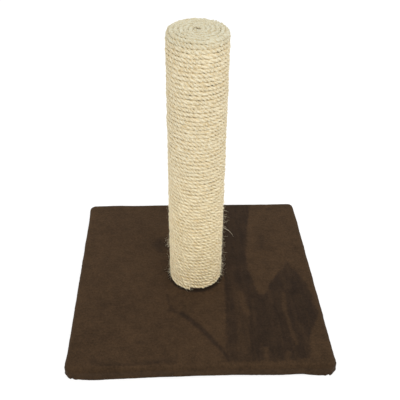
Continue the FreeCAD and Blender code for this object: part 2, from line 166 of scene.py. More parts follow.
# Marks on the cover's top, in millimetres from the post. Two outlines, one in the other, hold the pile
# that is brushed away and looks darker. The strokes are a chain of places and half the stroke's width:
# streaks where the pile stands in that patch, creases, and dark smudges. A half width below 0 leaves only
# a stroke's soft edge, which is faint.
BRUSHED_PATCH = [
    (49, 199), (118, 200), (107, 154), (100, 108), (95, 72), (91, 32), (91, 6), (95, -4), (98, -25),
    (100, -46), (107, -55), (113, -53), (120, -44), (125, -26), (132, -17), (139, -9), (145, 4), (151, 4),
    (157, 13), (162, 28), (166, 14), (171, 3), (179, -9), (184, -22), (189, -37), (191, -58), (190, -80),
    (193, -97), (191, -110), (184, -118), (178, -128), (172, -144), (167, -159), (166, -173), (159, -189),
    (133, -192), (96, -193), (37, -192), (41, -141), (45, -94), (47, -55), (48, -25), (46, 6), (45, 60),
]
DEEPEST_PATCH = [
    (53, 199), (114, 200), (99, 108), (91, 32), (95, -4), (100, -46), (107, -55), (120, -44), (132, -17),
    (145, 4), (162, 28), (179, -9), (190, -58), (192, -97), (178, -128), (167, -159), (162, -189),
    (134, -188), (78, -190), (80, -142), (84, -95), (80, -56), (72, -22), (63, -32), (62, -90), (58, -158),
    (45, -158), (46, -60), (48, -10), (46, 40),
]
LIGHT_STREAKS = [
    ([(72, -50), (75, -67), (77, -81), (80, -97)], 4.0),
    ([(145, -52), (140, -87), (142, -107), (143, -128), (146, -143), (148, -161)], 2.2),
    ([(100, -169), (99, -192)], 3.2),
    ([(133, -177), (129, -192)], 3.2),
]
CREASES = [
    ([(-48, -52), (-46, -72), (-42, -83), (-36, -91), (-26, -94), (-19, -100), (-7, -114)], 0.4),
    ([(-26, -94), (-7, -114), (2, -124), (11, -137), (17, -145), (24, -157)], 3.4),
    ([(2, -124), (11, -137), (17, -145), (24, -157), (31, -165), (38, -177), (43, -189)], 2.6),
]
DARK_SMUDGES = [
    ([(-62, 92), (-60, 62)], 4.0),
    ([(-66, 77), (-52, 77)], 7.5),
    ([(-48, -87), (-26, -91)], -0.5),
    ([(-95, -153), (-79, -154)], -0.5),
    ([(127, 98), (122, 62)], 0.5),
    ([(150, 179), (157, 181)], 0.5),
    ([(-122, -67), (-118, -65)], -1.0),
    ([(-187, 103), (-186, 93)], -1.0),
    ([(-160, -188), (-130, -196), (-100, -195), (-60, -190), (-38, -190)], 1.0),
    ([(-20, 199), (-5, 120)], -2.0),
]
# Depths in the marks are kept within this, in millimetres.
DEEPEST_MARK = 30.0

# Colours of the sisal that the settings don't hold. The tints multiply.
WARM_STRAW = (0.84, 0.67, 0.40)
BROWN_SPECK = (0.46, 0.28, 0.11)
# Cooler on top, and darker there as painted shade, since the lamp lights the top more.
TOP_TINT_AND_SHADE = (0.80, 0.86, 0.92)
# Paler low on the post as painted light, against the shade that the dark base gives there.
LOW_PAINTED_LIGHT = (1.22, 1.20, 1.15)


# ----------------------------------------------------------------------------------------- sizes and colours

class RopeSettings(bpy.types.PropertyGroup):
    """Sizes and colours of the sisal rope."""
    pitch: FloatProperty(
        name="Pitch", description="Height that one turn takes", default=6.5 * MM, unit="LENGTH")
    stand_off: FloatProperty(
        name="Stand-off", description="From the tube's wall to the rope's centre", default=3.2 * MM,
        unit="LENGTH")
    lay: FloatProperty(
        name="Lay", description="Length in which a strand goes once round the rope", default=20.5 * MM,
        unit="LENGTH")
    strand_radius: FloatProperty(
        name="Strand radius", description="Radius of each of the three strands", default=1.72 * MM,
        unit="LENGTH")
    strand_reach: FloatProperty(
        name="Strand reach", description="From the rope's centre to a strand's", default=1.36 * MM,
        unit="LENGTH")
    step: FloatProperty(
        name="Step", description="Distance between the rope's rings", default=1.5 * MM, unit="LENGTH")
    pale: FloatVectorProperty(
        name="Pale fibre", description="Colour of the palest fibres", default=(0.80, 0.73, 0.54),
        subtype="COLOR")
    straw: FloatVectorProperty(
        name="Straw fibre", description="Colour of the darker fibres", default=(0.655, 0.525, 0.305),
        subtype="COLOR")
    # Partly browner fibre and partly painted shade, mixed into the strands' valleys and the turns' grooves.
    valley: FloatVectorProperty(
        name="Valley", description="Colour deep between two strands", default=(0.45, 0.31, 0.115),
        subtype="COLOR")


class FibreSettings(bpy.types.PropertyGroup):
    """The fibres that stand out of the rope."""
    count: IntProperty(name="Count", description="Loose fibres on the whole rope", default=5600, min=0)
    flank_count: IntProperty(
        name="Flank count", description="More of them at the lower flanks", default=430, min=0)
    longest: FloatProperty(
        name="Longest", description="Length of the longest ones", default=17 * MM, unit="LENGTH")
    radius: FloatProperty(
        name="Radius", description="Radius of a fibre at its root", default=0.085 * MM, unit="LENGTH")
    colour: FloatVectorProperty(
        name="Colour", description="Colour of a loose fibre", default=(0.88, 0.80, 0.60), subtype="COLOR")


class CoverSettings(bpy.types.PropertyGroup):
    """The plush cover of the base."""
    thickness: FloatProperty(
        name="Thickness", description="Cloth and pile together", default=2 * MM, unit="LENGTH")
    hole: FloatProperty(
        name="Hole", description="Radius of the hole under the post", default=6 * MM, unit="LENGTH")
    flat: FloatProperty(
        name="Flat size", description="Side of the square that the cover is cut from", default=514 * MM,
        unit="LENGTH")
    pile: FloatVectorProperty(
        name="Pile", description="Colour of the standing pile", default=(0.0450, 0.0255, 0.0122),
        subtype="COLOR")
    brushed: FloatVectorProperty(
        name="Brushed pile", description="Colour where the pile lies away", default=(0.0195, 0.0114, 0.0066),
        subtype="COLOR")
    # Painted sheen: the lighter colour mixed in along the rims.
    painted_rim_sheen: FloatVectorProperty(
        name="Pile tips", description="Colour of the tips at the rims", default=(0.082, 0.049, 0.027),
        subtype="COLOR")


class StageSettings(bpy.types.PropertyGroup):
    """Floor, light and camera."""
    world_strength: FloatProperty(
        name="Surround", description="Strength of the light all round", default=0.93)
    lamp_power: FloatProperty(
        name="Lamp", description="Power of the soft lamp in watts", default=24.0)
    shadow_share: FloatProperty(
        name="Shadow", description="How much of the floor's shadow the camera sees", default=0.35,
        subtype="FACTOR")
    camera_place: FloatVectorProperty(
        name="Camera", description="Where the camera stands", default=(-0.034787, -0.783502, 0.748853),
        subtype="TRANSLATION")
    tilt: FloatProperty(
        name="Tilt", description="How far the camera looks down", default=0.629068, subtype="ANGLE")
    swing: FloatProperty(
        name="Swing", description="How far it looks to the right", default=0.005177, subtype="ANGLE")
    roll: FloatProperty(
        name="Roll", description="How far it leans", default=-0.012859, subtype="ANGLE")
    lens: FloatProperty(
        name="Lens", description="Focal length in millimetres", default=55.261)
    shift: FloatProperty(
        name="Shift", description="Sideways shift of the image, in image widths", default=0.05825)


# ----------------------------------------------------------------------------------------- arrays and meshes

def unit(vectors):
    """Vectors of the same directions, one long."""
    return vectors / np.linalg.norm(vectors, axis=-1, keepdims=True)


def ease(value, low, high):
    """0 up to low, 1 from high on, and the cubic 3x^2 - 2x^3 between."""
    share = np.clip((value - low) / (high - low), 0.0, 1.0)
    return share * share * (3.0 - 2.0 * share)


def plateau(value, start, full, fading, end):
    """0 up to the start, eased to 1 where it is full, and eased back to 0 from fading to the end."""
    return ease(value, start, full) * (1.0 - ease(value, fading, end))


def bell(value, middle, width):
    """The bell curve e^(-x^2), with x the distance from its middle in widths."""
    return np.exp(-((value - middle) / width) ** 2)


def waves(seed, count, shortest, longest, dimensions):
    """A smooth random function of points with a spread of 1: the sum of cosines of drawn direction,
    length and phase."""
    rng = np.random.default_rng(seed)
    lengths = np.exp(rng.uniform(math.log(shortest), math.log(longest), count))
    turning = unit(rng.normal(size=(count, dimensions))) * (TURN / lengths)[:, None]
    phases = rng.uniform(0.0, TURN, count)
    scale = math.sqrt(2.0 / count)
    return lambda points: np.cos(points @ turning.T + phases).sum(-1) * scale


def ring_quads(rows, columns, closed=False):
    """Quads between the closed rings of a grid, and from its last ring to its first if it is closed."""
    start = np.arange(rows if closed else rows - 1)[:, None] * columns
    after = (start + columns) % (rows * columns)
    here = np.arange(columns)
    beside = (here + 1) % columns
    return np.stack([start + here, start + beside, after + beside, after + here], -1).reshape(-1, 4)


def outward(points, faces):
    """The faces, all turned round if the volume that they enclose comes out negative."""
    volume = 0.0
    for group in faces:
        first = points[group[:, 0]]
        for corner in range(1, group.shape[1] - 1):
            across = np.cross(points[group[:, corner]], points[group[:, corner + 1]])
            volume += np.einsum("ij,ij->", first, across)
    return faces if volume > 0 else [group[:, ::-1] for group in faces]


def make_piece(name, points, faces, numbers=None, corner_uv=None):
    """A smooth object at the origin from points, groups of faces, numbers at each point and a UV map."""
    mesh = bpy.data.meshes.new(name)
    sizes = np.concatenate([np.full(len(group), group.shape[1]) for group in faces])
    corners = np.concatenate([group.ravel() for group in faces])
    mesh.vertices.add(len(points))
    mesh.vertices.foreach_set("co", np.ascontiguousarray(points, np.float32).ravel())
    mesh.loops.add(len(corners))
    mesh.loops.foreach_set("vertex_index", corners.astype(np.int32))
    mesh.polygons.add(len(sizes))
    mesh.polygons.foreach_set("loop_start", (np.cumsum(sizes) - sizes).astype(np.int32))
    mesh.polygons.foreach_set("loop_total", sizes.astype(np.int32))
    mesh.polygons.foreach_set("use_smooth", np.ones(len(sizes), bool))
    mesh.update(calc_edges=True)
    for label, values in (numbers or {}).items():
        attribute = mesh.attributes.new(label, "FLOAT", "POINT")
        attribute.data.foreach_set("value", np.ascontiguousarray(values, np.float32).ravel())
    if corner_uv is not None:
        layer = mesh.uv_layers.new(name="lay")
        layer.data.foreach_set("uv", np.ascontiguousarray(corner_uv, np.float32).ravel())
    piece = bpy.data.objects.new(name, mesh)
    bpy.context.scene.collection.objects.link(piece)
    return piece


def distance_to_chain(points, corners):
    """How far flat points are from a chain of straight stretches."""
    nearest = np.full(len(points), np.inf)
    for start, end in zip(corners[:-1], corners[1:]):
        stretch = end - start
        along = np.clip((points - start) @ stretch / (stretch @ stretch), 0.0, 1.0)
        nearest = np.minimum(nearest, np.linalg.norm(points - start - along[:, None] * stretch, axis=1))
    return nearest


def depth_in_outline(points, outline):
    """How deep flat points lie inside a closed outline, negative outside: inside, a ray to +X crosses the
    outline an odd number of times."""
    corners = np.array(outline + outline[:1], float)
    odd = np.zeros(len(points), bool)
    for (x0, y0), (x1, y1) in zip(corners[:-1], corners[1:]):
        if y0 != y1:
            spans = (points[:, 1] > y0) != (points[:, 1] > y1)
            odd ^= spans & (points[:, 0] < x0 + (points[:, 1] - y0) * (x1 - x0) / (y1 - y0))
    return np.where(odd, 1.0, -1.0) * distance_to_chain(points, corners)


def depth_in_strokes(points, strokes):
    """How deep flat points lie inside the nearest stroke, each a chain of places and half its width."""
    depth = np.full(len(points), -DEEPEST_MARK)
    for chain, half_width in strokes:
        depth = np.maximum(depth, half_width - distance_to_chain(points, np.array(chain, float)))
    return depth


# -------------------------------------------------------------------------------------------------- the rope

def track(way, stand_off):
    """Radius, height and lean of the track by the way along it past the tube's top. It goes up the wall,
    round the rim in a quarter circle of the stand-off, then straight in over the top. The lean is 0 on
    the wall and 90 degrees on top."""
    lean = np.clip(way / stand_off, 0.0, math.pi / 2)
    inward = np.maximum(way - stand_off * math.pi / 2, 0.0)
    radius = TUBE_HIGH.x + stand_off * np.cos(lean) - inward
    height = TUBE_HIGH.z + stand_off * np.sin(lean) + np.minimum(way, 0.0)
    return radius, height, lean


def one_turn_on(way, rope):
    """The way along the track one turn later, where the line is one pitch off, found by halving."""
    radius, height, _ = track(way, rope.stand_off)
    low = way + rope.pitch
    high = way + 1.5 * rope.pitch
    for _ in range(40):
        middle = (low + high) / 2
        next_radius, next_height, _ = track(middle, rope.stand_off)
        near = np.hypot(next_radius - radius, next_height - height) < rope.pitch
        low = np.where(near, middle, low)
        high = np.where(near, high, middle)
    return (low + high) / 2


def turns_up(rope):
    """Turns that climb the tube's wall, to where the rope starts over the rim."""
    return (TUBE_HIGH.z - TUBE_LOW.z - rope.stand_off) / rope.pitch


def way_at(turns, rope):
    """The way along the track after some turns: one pitch a turn up the wall, then turn by turn."""
    side_turns = turns_up(rope)
    past = np.maximum(0, np.ceil(turns - side_turns))
    way = rope.pitch * (turns - past - side_turns)
    for done in range(int(past.max())):
        way = np.where(past > done, one_turn_on(way, rope), way)
    return way


def rope_line(rope):
    """The whole rope's centre line in even steps, as arrays: turns, length so far, places, headings and
    outward directions. The line is the track at a steadily falling azimuth. Smooth waves move it up,
    down, in and out. Its turns on top are lifted and slope, those round the rim are drawn in and down,
    and the lowest ones sag."""
    drift = waves(ROPE_SEED, 26, 16 * MM, 110 * MM, 3)
    bulge = waves(ROPE_SEED + 1, 26, 14 * MM, 70 * MM, 3)
    alone = waves(ROPE_SEED + 2, 30, 9 * MM, 60 * MM, 1)

    def place(turns):
        """Places and outward directions after some turns."""
        way = way_at(turns, rope)
        angle = ROPE_START - TURN * turns
        around = np.stack([np.cos(angle), np.sin(angle)], -1)
        radius, height, _ = track(way, rope.stand_off)
        ideal = np.column_stack([around * radius[:, None], height])
        run = (turns * TURN * TUBE_HIGH.x)[:, None]
        free = ease(turns, 0.05, 1.2)
        way = way + free * MM * (SHARED_DRIFT * drift(ideal) + OWN_DRIFT * alone(run))

        radius, height, lean = track(way, rope.stand_off)
        slope = around @ TOP_SLOPE * np.minimum(radius / TUBE_HIGH.x, 1.0)
        radius = radius + MM * (BULGE * bulge(ideal) - PRESSED_IN) * np.cos(lean)
        radius = radius - RIM_IN * MM * bell(way, 1.5 * MM, 5 * MM)
        height = height + MM * BULGE * bulge(ideal) * np.sin(lean)
        height = height + MM * (TOP_LIFT + slope) * ease(way, -34 * MM, 5 * MM)
        height = height - RIM_DOWN * MM * bell(way, 4 * MM, 5.5 * MM)
        sagging = plateau(turns % 1.0, 0.2, 0.6, 0.90, 1.0)
        fading = np.exp(-FOOT_SAG_FADE * np.floor(turns))
        height = height - FOOT_SAG * MM * sagging * fading * (turns < SAGGING_TURNS)
        out = np.column_stack([around * np.cos(lean)[:, None], np.sin(lean)])
        return np.column_stack([around * radius[:, None], height]), out

    turns_over = (TUBE_HIGH.x + rope.stand_off * (math.pi / 2 - 1)) / rope.pitch
    last_turn = turns_up(rope) + turns_over - ENDS_BEFORE_MIDDLE
    fine = np.linspace(0.0, last_turn, int(last_turn * FINE_STEPS))
    points, _ = place(fine)
    length = np.concatenate([[0.0], np.cumsum(np.linalg.norm(np.diff(points, axis=0), axis=1))])
    run = np.linspace(0.0, length[-1], int(length[-1] / rope.step))
    turns = np.interp(run, length, fine)
    points, out = place(turns)
    heading = unit(np.gradient(points, run, axis=0))
    out = unit(out - heading * np.einsum("ij,ij->i", out, heading)[:, None])
    return turns, run, points, heading, out


def strand_section(rope, columns):
    """Radius of a three strand section by angle: a circle of the strand's radius r about a centre that
    lies the reach c out, which is c cos a + sqrt(r^2 - c^2 sin^2 a), three times, with the first column
    in a valley. Also how high up the crown each column is, 0 to 1, and which strand it is on."""
    angle = np.arange(columns) / columns * TURN
    strand = (angle // (TURN / 3)).astype(int)
    local = angle % (TURN / 3) - TURN / 6
    reach = rope.strand_reach
    radius = reach * np.cos(local) + np.sqrt(rope.strand_radius ** 2 - (reach * np.sin(local)) ** 2)
    crown = (radius - radius.min()) / (radius.max() - radius.min())
    return angle, radius, crown, strand


def rope_rings(rope, line, columns=24):
    """Rings of a laid rope: the three strand section turns once round per lay as it runs along the line.
    Each strand swells and thins a little on its own and is lumpy, the strands spread at the cut foot end,
    fill out round the rim and lie flatter on top. The section is drawn wide, so that the turns press into
    each other, and it is cut flat at the tube, at the base and past half a pitch to both sides. Also how
    high up the crown each point is, and how near it is to the groove between two turns, both 0 to 1."""
    _, run, points, heading, out = line
    angle, radius, crown, strand = strand_section(rope, columns)
    side = np.cross(heading, out)
    along = run[:, None]
    swell = np.stack([waves(ROPE_SEED + 5 + k, 30, 8 * MM, 60 * MM, 1)(along) for k in range(3)], -1)
    slip = TWIST_SLIP * waves(ROPE_SEED + 9, 24, 24 * MM, 180 * MM, 1)(along)
    girth = 1.0 + GIRTH_CHANGE * waves(ROPE_SEED + 10, 30, 14 * MM, 70 * MM, 1)(along)
    lump = np.random.default_rng(ROPE_SEED).normal(size=(len(run), columns))
    lump = (lump + np.roll(lump, 1, 0) + np.roll(lump, -1, 0) + np.roll(lump, 1, 1)) / 2

    valley = radius.min()
    raised = 1.0 - TOP_FLATTENED * ease(out[:, 2], 0.3, 0.9)[:, None]
    relief = (radius - valley) * raised * (1.0 + STRAND_SWELL * swell[:, strand])
    relief = relief + (1.0 - raised) * 0.6 * (radius.max() - valley) + LUMPS * MM * lump * (0.4 + crown)
    spread = 1.0 + CUT_SPREAD * np.exp(-run / (5 * MM))[:, None]
    shoulder = RIM_FILL * (2.0 * out[:, 2] * np.hypot(out[:, 0], out[:, 1])) ** 2
    full = (valley + relief) * spread * (girth + shoulder)[:, None]
    broad = WIDENED + 0.05 * waves(ROPE_SEED + 11, 30, 16 * MM, 90 * MM, 3)(points)[:, None]

    turned = angle + (run / rope.lay * TURN + slip)[:, None]
    most_beside = 0.60 * rope.pitch
    up = np.maximum(full * np.cos(turned), -rope.stand_off + 0.04 * MM)
    beside = np.clip(broad * full * np.sin(turned), -most_beside, most_beside)
    rings = points[:, None] + up[..., None] * out[:, None] + beside[..., None] * side[:, None]
    rings[..., 2] = np.maximum(rings[..., 2], COVER_HIGH.z - 0.1 * MM)
    return rings, np.broadcast_to(crown, full.shape), ease(np.abs(np.sin(turned)), 0.52, 0.90)


def rope_piece(name, rings, crown, groove, u_rows):
    """A closed tube through rings, with a pole in the middle of each end. Its UV map runs along the rope
    in lays, and once round the strands."""
    rows, columns = rings.shape[:2]
    count = rows * columns
    poles = np.stack([rings[0].mean(0), rings[-1].mean(0)])
    points = np.concatenate([rings.reshape(-1, 3), poles])
    here = np.arange(columns)
    beside = (here + 1) % columns
    foot = np.stack([np.full(columns, count), beside, here], -1)
    head = np.stack([np.full(columns, count + 1), count - columns + here, count - columns + beside], -1)
    quads = ring_quads(rows, columns)
    v = here / columns
    u0, u1 = np.broadcast_arrays(u_rows[:-1, None], u_rows[1:, None])
    wall_u = np.broadcast_to(np.stack([u0, u0, u1, u1], -1), (rows - 1, columns, 4))
    wall_v = np.broadcast_to(np.stack([v, v + 1 / columns, v + 1 / columns, v], -1), (rows - 1, columns, 4))
    end_v = np.stack([np.full(columns, 0.5), v, v], -1)
    uv = [np.stack([wall_u, wall_v], -1).reshape(-1, 2)]
    for u in (u_rows[0], u_rows[-1]):
        uv.append(np.stack([np.full(end_v.shape, u), end_v], -1).reshape(-1, 2))
    numbers = {
        "crown": np.concatenate([crown.ravel(), [0.4, 0.4]]),
        "groove": np.concatenate([groove.ravel(), [0.0, 0.0]]),
    }
    return make_piece(name, points, [quads, foot, head], numbers, np.concatenate(uv))


# ---------------------------------------------------------------------------------------------- loose fibres

def fibre_mesh(roots, headings, bends, curls, lengths, radii, sides=3, steps=5):
    """Tapered curved hairs: each centre line is root + length (t heading + t^2 bend + t^3 curl). Each
    section is a small triangle that thins with t, closed at the root and drawn to a point at the tip."""
    t = np.linspace(0.0, 1.0, steps + 1)[None, :, None]
    heading, bend, curl = headings[:, None], bends[:, None], curls[:, None]
    centre = roots[:, None] + lengths[:, None, None] * (t * heading + t * t * bend + t ** 3 * curl)
    tangent = unit(heading + 2 * t * bend + 3 * t * t * curl)
    helper = np.where(np.abs(headings[:, 2:]) > 0.8, [[1.0, 0.0, 0.0]], [[0.0, 0.0, 1.0]])
    first = unit(np.cross(tangent, helper[:, None]))
    second = np.cross(tangent, first)
    angle = np.arange(sides) / sides * TURN
    thin = radii[:, None, None] * (1.0 - 0.8 * t[:, :-1] ** 2)
    ring = (first[:, :-1, None] * np.cos(angle)[:, None] + second[:, :-1, None] * np.sin(angle)[:, None])
    body = centre[:, :-1, None] + ring * thin[..., None]
    count = len(roots)
    per_hair = steps * sides + 1
    points = np.concatenate([body.reshape(count, -1, 3), centre[:, -1:]], 1).reshape(-1, 3)
    base = np.arange(count)[:, None, None] * per_hair
    quads = (base + ring_quads(steps, sides)[None]).reshape(-1, 4)
    here = np.arange(sides)
    beside = (here + 1) % sides
    last = (steps - 1) * sides
    tip = np.stack([np.full(sides, steps * sides), last + here, last + beside], -1)
    root = here[None, ::-1]
    triangles = (base + np.concatenate([tip, root])[None]).reshape(-1, 3)
    return points, [quads, triangles]


def drawn_vectors(rng, count, shortest, longest, pull=(0.0, 0.0, 0.0)):
    """Vectors of drawn directions, drawn toward the pull, and drawn lengths."""
    directions = unit(rng.normal(size=(count, 3)) + pull)
    return directions * rng.uniform(shortest, longest, count)[:, None]


def fibre_roots(fibres, line):
    """Where the fibres leave the rope: drawn along its length, thicker near the foot, with tufts, on the
    side that faces away from the tube. Most of them lie along the rope and over its grooves, and the rest
    stand off."""
    rng = np.random.default_rng(FIBRE_SEED)
    _, _, points, heading, out = line
    side = np.cross(heading, out)
    count = fibres.count
    foot = 1.0 + 1.6 * np.exp(-points[:, 2] / (60 * MM))
    clumps = np.maximum(0.15, 1.0 + 0.9 * waves(FIBRE_SEED, 30, 30 * MM, 160 * MM, 3)(points))
    share = foot * clumps
    rows = rng.choice(len(points), count, p=share / share.sum())
    tilt = rng.normal(0.0, 0.7, count)
    away = out[rows] * np.cos(tilt)[:, None] + side[rows] * np.sin(tilt)[:, None]
    roots = points[rows] + away * rng.uniform(2.3, 2.8, count)[:, None] * MM
    along = heading[rows] * rng.choice([-1.0, 1.0], count)[:, None]
    stand = np.where(rng.random(count) < LYING_SHARE, 0.06, rng.beta(1.6, 3.4, count))[:, None]
    headings = unit(along * (1.0 - stand) + away * (0.10 + stand) + rng.normal(0.0, 0.20, (count, 3)))
    bends = drawn_vectors(rng, count, 0.1, 0.7, pull=(0.0, 0.0, -0.4))
    bends = bends - out[rows] * 0.25 * (stand < 0.1)
    curls = drawn_vectors(rng, count, 0.0, 0.5)
    lengths = fibres.longest * (0.16 + 0.84 * rng.beta(1.1, 5.5, count))
    radii = fibres.radius * rng.uniform(0.6, 1.3, count)
    return roots, headings, bends, curls, lengths, radii


def flank_fibres(fibres):
    """The fuzz at the two flanks of the post's lower part, where it is rubbed: short and curly, in tufts
    at drawn heights, more of them toward the foot, and higher up on the right than on the left."""
    rng = np.random.default_rng(FIBRE_SEED + 1)
    count = fibres.flank_count
    left = rng.random(count) < 0.5
    azimuth = np.where(left, LEFT_FLANK, RIGHT_FLANK) + rng.normal(0.0, 0.22, count)
    tufts = rng.exponential(50.0, 26)
    highest = np.where(left, LEFT_FUZZ_TOP, RIGHT_FUZZ_TOP)
    heights = np.clip(rng.choice(tufts, count) + rng.normal(0.0, 3.0, count), 4.0, highest)
    around = np.stack([np.cos(azimuth), np.sin(azimuth), np.zeros(count)], -1)
    roots = around * ROOT_RADIUS
    roots[:, 2] = COVER_HIGH.z + MM * heights
    headings = unit(around * rng.uniform(0.4, 1.2, count)[:, None] + rng.normal(0.0, 0.45, (count, 3)))
    bends = drawn_vectors(rng, count, 0.2, 0.8)
    curls = drawn_vectors(rng, count, 0.1, 0.6)
    lengths = MM * (2.0 + 9.5 * rng.beta(1.4, 3.5, count))
    radii = fibres.radius * rng.uniform(0.7, 1.3, count)
    return roots, headings, bends, curls, lengths, radii


def stray_fibres(fibres):
    """The few fibres that the eye finds, from the list of them."""
    columns = [np.array(column, float) for column in zip(*STRAY_FIBRES)]
    azimuth, heights, headings, bends, curls, lengths = columns
    azimuth = np.radians(azimuth)
    roots = np.stack([np.cos(azimuth) * ROOT_RADIUS, np.sin(azimuth) * ROOT_RADIUS, heights * MM], -1)
    radii = np.full(len(roots), 1.5 * fibres.radius)
    radii[0] = 3.4 * fibres.radius
    return roots, headings, bends, curls, lengths * MM, radii


# ------------------------------------------------------------------------------------------------- the cover

def outline_columns(straight=150, arc=10):
    """Columns round a rounded square, counter-clockwise from its front side: where the point is on the
    core square, which way is out, and how far it is along its side, -1 to 1, with the corner arc at 1."""
    along = np.concatenate([np.linspace(-1.0, 1.0, straight, endpoint=False), np.ones(arc)])
    bend = np.concatenate([np.zeros(straight), np.arange(arc) / arc * TURN / 4])
    core, out = [], []
    for corner in range(4):
        facing = (corner - 1) * TURN / 4
        ahead = np.array([-math.sin(facing), math.cos(facing)])
        away = np.array([math.cos(facing), math.sin(facing)])
        core.append(along[:, None] * ahead + away)
        out.append(np.stack([np.cos(facing + bend), np.sin(facing + bend)], -1))
    return np.concatenate(core), np.concatenate(out), np.tile(along, 4), np.tile(bend, 4)


def board_rows(cover, turn_rows=7, side_rows=4):
    """Rings over the board from the hole on top, out over the edge, down the side and in under it along
    the hem. For each: its half width, corner radius, height, which way its surface faces, from 0, up, to
    180 degrees, down, and how square it is, 0 for a circle."""
    flat = BOARD_HIGH.x - BOARD_EDGE
    corner = BOARD_CORNER - BOARD_EDGE
    rows = []

    def round_edge(level, up, start):
        """A quarter turn over the rounded edge at a level, with up 1 above the board and -1 below it."""
        for facing in np.linspace(start, start + math.pi / 2, turn_rows):
            grow = BOARD_EDGE * math.sin(facing)
            drop = BOARD_EDGE * (1.0 - up * math.cos(facing))
            rows.append((flat + grow, corner + grow, level - up * drop, facing, 1.0))

    for w in np.arange(FLAT_ROWS) / FLAT_ROWS:
        half = cover.hole + (flat - cover.hole) * w
        rows.append((half, corner * w, BOARD_HIGH.z, 0.0, ease(w, 0.22, 0.9)))
    round_edge(BOARD_HIGH.z, 1, 0.0)
    high = BOARD_HIGH.z - BOARD_EDGE
    low = BOARD_LOW.z + BOARD_EDGE
    for w in np.arange(1, side_rows) / side_rows:
        rows.append((BOARD_HIGH.x, BOARD_CORNER, high + (low - high) * w, math.pi / 2, 1.0))
    round_edge(BOARD_LOW.z, -1, math.pi / 2)
    opening = COVER_HIGH.x - HEM_WIDTH
    for w in np.arange(1, HEM_ROWS + 1) / HEM_ROWS:
        rows.append((flat + (opening - flat) * w, corner * (1.0 - 0.8 * w), BOARD_LOW.z, math.pi, 1.0))
    return np.array(rows)


def staple_places():
    """Middle of each staple's crown on the cover's underside, in from the edge by half the hem."""
    line = COVER_HIGH.x - HEM_WIDTH / 2
    along = (np.arange(STAPLES_A_SIDE) - (STAPLES_A_SIDE - 1) / 2) * STAPLE_SPACING
    sides = [np.stack([along, np.full(STAPLES_A_SIDE, -line)], -1)]
    for _ in range(3):
        sides.append(np.stack([-sides[-1][:, 1], sides[-1][:, 0]], -1))
    return np.concatenate(sides)


def cover_grid(cover):
    """The board's surface under the cloth as a grid of rings: points, normals, which way each ring faces,
    each column's direction from the middle, and how far it is from its corner along its side or the
    corner's arc."""
    core, out, along, bend = outline_columns()
    rows = board_rows(cover)
    half, corner, height, facing, square = [rows[:, k][:, None] for k in range(5)]
    straight = BOARD_HIGH.x - BOARD_CORNER
    polar = unit(core * straight + out * BOARD_CORNER)
    rounded = (half - corner)[..., None] * core + corner[..., None] * out
    flat = rounded * square[..., None] + half[..., None] * polar * (1.0 - square[..., None])
    grid = flat.shape[:2] + (1,)
    points = np.concatenate([flat, np.broadcast_to(height[..., None], grid)], -1)
    rise = np.broadcast_to(np.cos(facing)[..., None], grid)
    normals = np.concatenate([out * np.sin(facing)[..., None], rise], -1)
    on_side = along * straight - np.where(along > 0, straight, -straight)
    from_corner = np.where(bend > 0, (bend - TURN / 8) * BOARD_CORNER, on_side)
    return points, normals, facing, polar, from_corner


def on_top(facing):
    """1 where the cover faces up, eased down to 0 over its edge."""
    return 1.0 - ease(facing, 0.0, 0.9)


def cover_relief(points, facing, polar, from_corner):
    """How much thicker than the flat cloth the cover is, in millimetres, as a sum: smooth random rolls,
    clumps and pulls, a dip under the post and a swell round it, a soft rim, a bulge low on the front and
    slighter ones on the back and the right, pleats at the corners, and less in the hem except where its
    laps cross."""
    x, y = points[..., 0], points[..., 1]
    from_post = np.hypot(x, y)
    under = ease(facing, 1.75, 2.6)
    sides = ease(facing, 0.2, 1.2) * (1.0 - under)
    roll = waves(COVER_SEED, 22, 45 * MM, 170 * MM, 3)(points)
    clump = waves(COVER_SEED + 1, 60, 5 * MM, 13 * MM, 3)(points)
    pull = waves(COVER_SEED + 2, 24, 26 * MM, 80 * MM, 3)(points)
    relief = ROLLS * roll * on_top(facing) + CLUMPS * clump + PULLS * pull * sides
    swell = POST_SWELL * bell(from_post, 49 * MM, 5 * MM)
    dip = POST_DIP * (1.0 - ease(from_post, 38 * MM, 43 * MM))
    relief += on_top(facing) * (swell - dip) + RIM_SWELL * bell(facing, 0.75, 0.5)

    toward = np.clip((np.abs(polar) - 0.62) / 0.16, 0.0, 1.0) * np.sign(polar)
    right, back = np.maximum(toward, 0.0).T
    front = np.maximum(-toward[:, 1], 0.0)
    low_bulge = np.interp(x / MM, *np.transpose(FRONT_BULGE)) * front
    back_bulge = back * (BACK_BULGE - x / MM / 110.0)
    relief += low_bulge * plateau(facing, 1.0, 2.0, 2.7, 3.05)
    relief += (back_bulge + RIGHT_BULGE * right) * plateau(facing, 0.1, 1.2, 2.4, 3.0)

    pleats = bell(from_corner, -5 * MM, 2.4 * MM) + 0.8 * bell(from_corner, 4.5 * MM, 2.6 * MM)
    pleats -= 0.9 * bell(from_corner, -0.5 * MM, 1.6 * MM) + 0.5 * bell(from_corner, 10 * MM, 3 * MM)
    bunched = PLEATS * pleats + BUNCHING * bell(from_corner, 0.0, 17 * MM)
    relief += ease(facing, 1.2, 2.4) * (1.0 - 0.65 * ease(facing, 2.7, 3.1)) * bunched

    diagonal = (np.abs(x) - np.abs(y)) * np.sign(x * y) / math.sqrt(2)
    lapped = ease(diagonal, -0.4 * MM, 0.4 * MM) * bell(diagonal, 0.0, 22 * MM)
    return relief - under * (HEM_PRESSED - HEM_LAPPED * lapped + 0.12 * roll)


def pressed_by_staples(thick, points, facing):
    """The thickness with a dip at each staple's crown, e^-(a^4 + b^4) of the shares of the dip's reach
    along the crown and across it."""
    for place in staple_places():
        reach = np.array([DIP_ALONG, DIP_ACROSS])
        if abs(place[0]) > abs(place[1]):
            reach = reach[::-1]
        share = np.abs(points[..., :2] - place) / reach
        dip = np.exp(-(share ** 4).sum(-1)) * (facing > 3.1)
        thick = thick * (1.0 - dip) + UNDER_STAPLE * dip
    return thick


